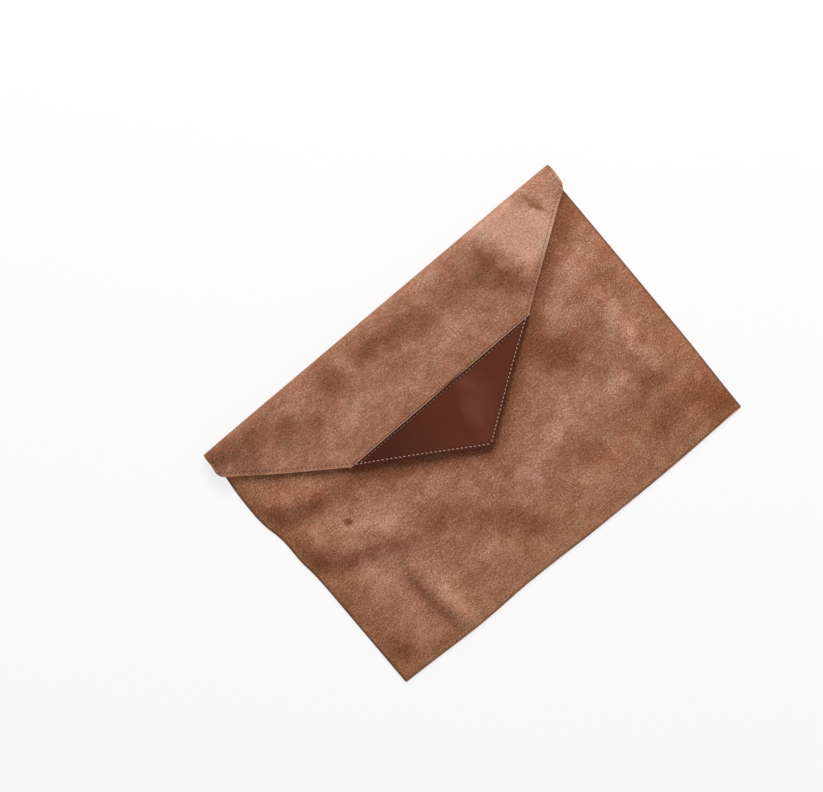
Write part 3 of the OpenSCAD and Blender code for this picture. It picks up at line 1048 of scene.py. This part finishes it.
def front_nap_and_shading(x, y):
    """The front's marks, with a painted shadow along the flap's edge and painted light towards the lower
    seam.
    """
    # painted shadow beside the flap's edge, wider to the right and beside the leather
    gap = (flap_edge_y(x) - y) * SLANT / MM
    right_side = eased((x + 20 * MM) / (40 * MM))
    by_leather = 1 - eased((abs(x) - TIP_HALF) / (20 * MM))
    reach = 3 + 9 * max(right_side, by_leather)
    painted_flap_shadow = (0.35 + 0.25 * right_side + 0.3 * by_leather) * math.exp(-((gap / reach) ** 2))
    # painted light on the bottom slope, which faces away from the window
    lower = 0.4 * (1 - eased((y - BOTTOM) / (50 * MM))) * eased((HALF - abs(x)) / (50 * MM))
    right = 0.14 * eased((x - HALF + 110 * MM) / (60 * MM))
    return nap_and_shading_marks(FRONT_NAP_AND_SHADING, x, y) - painted_flap_shadow + lower - right


def wrap_nap_and_shading(x, s):
    """The flap's marks, nap with painted light and shade, from the fold on, and plain soft clouds on the
    back.
    """
    plain = noise.noise(Vector((x * 30, s * 30, 9.0))) * 0.8
    seen = eased((s - FLAP_START + FOLD_RUN * 0.6) / (FOLD_RUN * 0.2))
    return plain + (nap_and_shading_marks(FLAP_NAP_AND_SHADING, x, ROOT - (s - FLAP_START)) - plain) * seen


# Operators


class SLEEVE_OT_wrap(bpy.types.Operator):
    """Cut the suede of back, fold and flap in one and fold it."""

    bl_idname = "sleeve.wrap"
    bl_label = "Back, fold and flap"

    def execute(self, context):
        s = sizes()
        corners, point = flap_cut(0.0)
        low = [(-HALF, 0.0, POCKET_CORNER), (HALF, 0.0, POCKET_CORNER)]
        step = [(HALF, BACK_RUN, 0.0), (FLAP_HALF, BACK_RUN + 4 * MM, 0.0)]
        outline = low + step + corners + mirrored(step)
        bm = rounded_cut(outline, s.cell, (-FLAP_HALF, 0.0), (FLAP_HALF, point), folded=True)
        suede = [suede_finish("suede_flap", flap_border), suede_cut()]
        obj, area = sheet_object("suede_wrap", bm, wrapped, s.suede, suede, turned=True, nap=wrap_nap_and_shading)
        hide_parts("back_panel", "fold", "flap_panel")
        bend_with_flap(obj)
        return {"FINISHED"}


class SLEEVE_OT_front(bpy.types.Operator):
    """Lay the front suede over the pocket."""

    bl_idname = "sleeve.front"
    bl_label = "Front"

    def execute(self, context):
        s = sizes()
        c = colours()
        corners = rectangle(HALF, BOTTOM, MOUTH, POCKET_CORNER)
        bm = rounded_cut(corners, s.cell, (-HALF, BOTTOM), (HALF, MOUTH))
        suede = [
            suede_finish("suede_pocket", pocket_border, (1.8, 1.5), (1.04, 0.97, 0.90), STAIN),
            # the pocket's dark cut edge at the seams, darkened further as painted shade
            cut_edge_finish("suede_seam_edge_shaded", c.suede_dark, toned(c.suede_dark, 0.55)),
        ]
        obj, area = sheet_object("suede_front", bm, on_front, s.suede, suede, nap=front_nap_and_shading)
        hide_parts("front_panel")
        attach(obj, "pocket")
        return {"FINISHED"}


class SLEEVE_OT_tip(bpy.types.Operator):
    """Cut the leather tip and lay it on the flap's point."""

    bl_idname = "sleeve.tip"
    bl_label = "Leather tip"

    def execute(self, context):
        s = sizes()
        c = colours()
        point = (0.0, POINT_Y - 0.4 * MM, s.point_radius)
        corners = [(-TIP_HALF, SEAM_Y, 0.0), point, (TIP_HALF, SEAM_Y, 0.0)]
        bm = rounded_cut(corners, TIP_CELL, (-TIP_HALF, POINT_Y), (TIP_HALF, SEAM_Y))
        leather = [leather_finish(), cut_edge_finish("leather_cut", c.cut_edge, c.leather_light)]
        obj, area = sheet_object("leather_tip", bm, on_tip, s.leather, leather, bevel=LEATHER_BEVEL)
        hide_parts("flap_tip")
        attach(obj, "flap")
        return {"FINISHED"}


class SLEEVE_OT_linings(bpy.types.Operator):
    """Line the back, the front and the flap, and face the mouth."""

    bl_idname = "sleeve.linings"
    bl_label = "Linings"

    def execute(self, context):
        s = sizes()
        woven = lining_finish()
        under = s.suede + s.ply_gap
        back_inset, front_inset = 5 * MM, 8 * MM

        def on_back(x, y):
            return on_pocket(x, y, under + s.lining)

        def behind_front(x, y):
            return on_front(x, y, under)

        edges = (HALF - back_inset, BOTTOM + back_inset, ROOT - 0.2 * MM)
        self.lay("lining_back", "back_lining", "lining", edges, on_back, [woven])
        edges = (HALF - front_inset, BOTTOM + front_inset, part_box("front_lining")[1].y)
        self.lay("lining_front", "front_lining", "lining", edges, behind_front, [woven])
        edges = (HALF - front_inset, FACING[0].y, MOUTH)
        suede = [suede_finish("suede_facing"), suede_cut()]
        self.lay("mouth_strip", "mouth_facing", "suede", edges, behind_front, suede, facing=True)
        self.line_flap(woven, under)
        self.cover_magnet(woven)
        return {"FINISHED"}

    def lay(self, name, node, slot, edges, place, materials, facing=False):
        """Lays one straight cut in the pocket; edges are its half width, low and high end."""
        s = sizes()
        half, low, high = edges
        corners = rectangle(half, low, high, 0.0 if facing else POCKET_CORNER)
        cell = FACING_CELL if facing else s.lining_cell
        bm = rounded_cut(corners, cell, (-half, low), (half, high))
        nap = (lambda x, y: FACING_NAP) if facing else None
        obj, area = sheet_object(name, bm, place, s.lining, materials, nap=nap, bevel=LINING_BEVEL)
        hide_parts(node)
        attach(obj, "pocket")

    def line_flap(self, woven, under):
        """Lines the fold and the flap in one, loose in the fold."""
        s = sizes()
        inset = 0.8 * MM
        half = FLAP_HALF - inset
        corners, point = flap_cut(inset)
        corners = [(-half, BACK_RUN, 0.0), (half, BACK_RUN, 0.0)] + corners
        bm = rounded_cut(corners, FLAP_LINING_CELL, (-half, BACK_RUN), (half, point), folded=True)
        at = down_flap(MAGNET_MID.y)

        def place(x, y):
            bump = magnet_bump(x - MAGNET_MID.x, y - at, *LINING_BUMP)
            share = (y - BACK_RUN) / FOLD_RUN
            loose = 0.25 * MM * eased(share / 0.15) * (1 - eased((share - 0.85) / 0.15))
            return wrapped(x, y, under + bump + loose)

        obj, area = sheet_object(
            "lining_flap", bm, place, s.lining, [woven], turned=True, bevel=LINING_BEVEL
        )
        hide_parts("flap_facing", "fold_lining")
        point - BACK_RUN
        bend_with_flap(obj)

    def cover_magnet(self, woven):
        """A round patch of lining, drawn over the magnet and sewn down at its rim."""
        radius = (PATCH[1].x - PATCH[0].x) / 2
        thick = 0.45 * MM
        drop = PATCH[1].z - PATCH[0].z - thick
        flat_share, slope_share = 0.62, 0.2
        bm = bmesh.new()
        bmesh.ops.create_circle(bm, cap_ends=True, segments=48, radius=radius)
        for share in (0.9, 0.72, 0.62, 0.4):
            inner = max(bm.faces, key=lambda face: len(face.verts))
            bmesh.ops.inset_region(bm, faces=[inner], use_boundary=True, thickness=radius * 0.08)
            for vert in max(bm.faces, key=lambda face: len(face.verts)).verts:
                vert.co = vert.co.normalized() * radius * share
        keep_flat(bm)

        def place(x, y):
            dip = drop * (1 - eased((math.hypot(x, y) / radius - flat_share) / slope_share))
            return Vector((PATCH_MID.x + x, PATCH_MID.y + y, PATCH[1].z - 0.7 * MM - dip))

        obj, _ = sheet_object("magnet_patch_cloth", bm, place, thick, [woven], bevel=PATCH_BEVEL)
        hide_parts("magnet_patch")
        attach(obj, "pocket")


class SLEEVE_OT_stitches(bpy.types.Operator):
    """Sew the leather tip, the flap's edges and the mouth."""

    bl_idname = "sleeve.stitches"
    bl_label = "Stitches"

    def execute(self, context):
        s = sizes()
        c = colours()
        cream = thread_finish("cream_thread", c.cream_thread)
        tan = thread_finish("tan_thread", c.tan_thread)
        # a darker copy of the tan thread, painted shade for the row along the leather's upper edge
        worn = thread_finish("tan_thread_shaded", toned(c.tan_thread, 0.62))
        hole = hole_finish()
        tip = self.tip_row()
        seam = level_row(at_seam(s.tip_inset) - 5 * MM, SEAM_Y - s.seam_inset)
        right = self.edge_rows()
        left = [flipped(row) for row in right]
        mouth = level_row(HALF - 10 * MM, MOUTH - s.mouth_inset)
        rows = [tip, flipped(tip)]
        self.sew("tip_stitches", "tip_thread", "cream_thread", "flap", rows, on_tip, [cream, hole])
        self.sew("tip_seam_stitches", "tip_seam_thread", "tan_thread", "flap", [seam], on_tip, [worn, hole])
        for name, node, rows in (
            ("edge_stitches_right", "right_edge_thread", right),
            ("edge_stitches_left", "left_edge_thread", left),
        ):
            self.sew(name, node, "tan_thread", "flap", rows, on_flap, [tan, hole], both_sides=True)
        self.sew("mouth_stitches", "mouth_thread", "tan_thread", "pocket", [mouth], on_front, [tan, hole])
        self.finish_hidden(tan)
        return {"FINISHED"}

    def tip_row(self):
        """The right-hand row along the leather's lower edge."""
        inset = sizes().tip_inset
        seam = Vector((at_seam(inset), SEAM_Y))
        point = Vector((0.0, at_point(inset)))
        clear = (point - seam).normalized() * 1.2 * MM
        return [seam + clear, point - clear]

    def edge_rows(self):
        """The rows down the flap's right side and on to the leather."""
        s = sizes()
        side = Vector((FLAP_HALF, flap_side_y()))
        seam = Vector((at_seam(s.leather_lap), SEAM_Y))
        along = (seam - side).normalized()
        inward = Vector((along.y, -along.x))
        turn = side + Vector((-1.0, (1 + inward.x) / inward.y)) * s.edge_inset
        stop = seam + inward * s.edge_inset - along * (s.edge_inset + 1 * MM)
        root = Vector((FLAP_HALF - s.edge_inset, ROOT - 0.8 * MM))
        clear = 0.6 * MM
        return [[root, turn + Vector((0.0, clear))], [turn + along * clear, stop]]

    def sew(self, name, node, slot, body, rows, on, materials, both_sides=False):
        """One piece of thread work from its rows, on both sides of the flap where that shows."""
        s = sizes()
        plies = Vector((0.0, 0.0, s.suede + s.ply_gap + s.lining))
        bm = thread_mesh()
        for row in rows:
            stitch_row(bm, *row, on)
            if both_sides:
                stitch_row(bm, *row, lambda x, y: on(x, y) - plies, below=True)
        obj = mesh_object(name, bm, materials)
        obj.data.shade_smooth()
        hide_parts(node)
        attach(obj, body)

    def finish_hidden(self, tan):
        """The seam threads and the magnets keep their solids and get their finishes."""
        finishes = dict.fromkeys(("body_magnet", "flap_magnet"), magnet_finish())
        finishes.update(dict.fromkeys(("left_seam_thread", "right_seam_thread", "bottom_seam_thread"), tan))
        for node, finish in finishes.items():
            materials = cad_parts[node].data.materials
            materials.clear()
            materials.append(finish)


class SLEEVE_OT_stage(bpy.types.Operator):
    """Set the floor, the soft light and the camera."""

    bl_idname = "sleeve.stage"
    bl_label = "Stage"

    white = (1.0, 1.0, 1.0, 1.0)

    def execute(self, context):
        scene = context.scene
        scene.view_settings.view_transform = "Standard"
        self.floor()
        self.light(scene)
        self.camera(scene)
        return {"FINISHED"}

    def floor(self):
        """A pale floor that fades to plain white away from the sleeve."""
        f = Finish("pale_floor")
        paint = {"Base Color": (*colours().floor, 1.0), "Roughness": 0.9, "Specular IOR Level": 0.1}
        lit = f.node("ShaderNodeBsdfPrincipled", None, paint)
        plain = f.node("ShaderNodeEmission", None, {"Color": self.white, "Strength": 1.0})
        x, y, _ = f.parts(f.local())
        far = ((x * x + y * y) ** 0.5).band(0.35, 1.6)
        both = f.node("ShaderNodeMixShader", None, {0: f.seen() * (0.76 + far * 0.24), 1: lit, 2: plain})
        f.node("ShaderNodeOutputMaterial", None, {"Surface": both})
        bm = bmesh.new()
        below = Matrix.Translation((0.0, 0.0, -0.3 * MM))
        bmesh.ops.create_grid(bm, x_segments=1, y_segments=1, size=12.0, matrix=below)
        mesh_object("floor", bm, [f.made])

    def light(self, scene):
        """An even pale room and one large soft window."""
        f = Finish("studio", "worlds")
        level = 0.44
        strength = f.seen() * (1 - level) + level
        around = f.node("ShaderNodeBackground", None, {"Color": self.white, "Strength": strength})
        f.node("ShaderNodeOutputWorld", None, {"Surface": around})
        scene.world = f.made
        lamp = bpy.data.lights.new("window", "AREA")
        lamp.shape = "DISK"
        lamp.size = 1.6
        lamp.energy = 66.0
        window = linked("window", lamp)
        place, aim = Vector((1.48, 1.62, 1.70)), Vector((0.03, 0.03, 0.0))
        window.location = place
        window.rotation_mode = "QUATERNION"
        window.rotation_quaternion = (aim - place).to_track_quat("-Z", "Y")

    def camera(self, scene):
        """The photograph's view, from its solved place and axes."""
        data = bpy.data.cameras.new("camera")
        data.sensor_fit = "AUTO"
        data.sensor_width = 36.0
        data.lens = 45.0
        camera = linked("camera", data)
        right = Vector((0.765, -0.6434, -0.0141)).normalized()
        back = Vector((0.0311, 0.0151, 0.9994)).normalized()
        up = back.cross(right).normalized()
        camera.rotation_mode = "QUATERNION"
        camera.rotation_quaternion = Matrix((right, up, back)).transposed().to_quaternion()
        camera.location = (0.0045, 0.0727, 0.9194)
        scene.camera = camera


class SLEEVE_PT_panel(bpy.types.Panel):
    """Sidebar panel with the sleeve's operators, sizes and colours."""

    bl_idname = "SLEEVE_PT_panel"
    bl_label = "Envelope sleeve"
    bl_space_type = "VIEW_3D"
    bl_region_type = "UI"
    bl_category = "Sleeve"

    def draw(self, context):
        for operator in OPERATORS:
            self.layout.operator(operator.bl_idname)
        for group in (context.scene.sleeve_sizes, context.scene.sleeve_colours):
            for name in group.__annotations__:
                self.layout.prop(group, name)


OPERATORS = (
    SLEEVE_OT_wrap,
    SLEEVE_OT_front,
    SLEEVE_OT_tip,
    SLEEVE_OT_linings,
    SLEEVE_OT_stitches,
    SLEEVE_OT_stage,
)
CLASSES = (SleeveSizes, SleeveColours, *OPERATORS, SLEEVE_PT_panel)


def register():
    for cls in CLASSES:
        bpy.utils.register_class(cls)
    bpy.types.Scene.sleeve_sizes = PointerProperty(type=SleeveSizes)
    bpy.types.Scene.sleeve_colours = PointerProperty(type=SleeveColours)


def unregister():
    del bpy.types.Scene.sleeve_colours
    del bpy.types.Scene.sleeve_sizes
    for cls in reversed(CLASSES):
        bpy.utils.unregister_class(cls)


def main():
    register()
    bpy.ops.sleeve.front()
    bpy.ops.sleeve.wrap()
    bpy.ops.sleeve.tip()
    bpy.ops.sleeve.linings()
    bpy.ops.sleeve.stitches()
    bpy.ops.sleeve.stage()


if __name__ == "__main__":
    main()
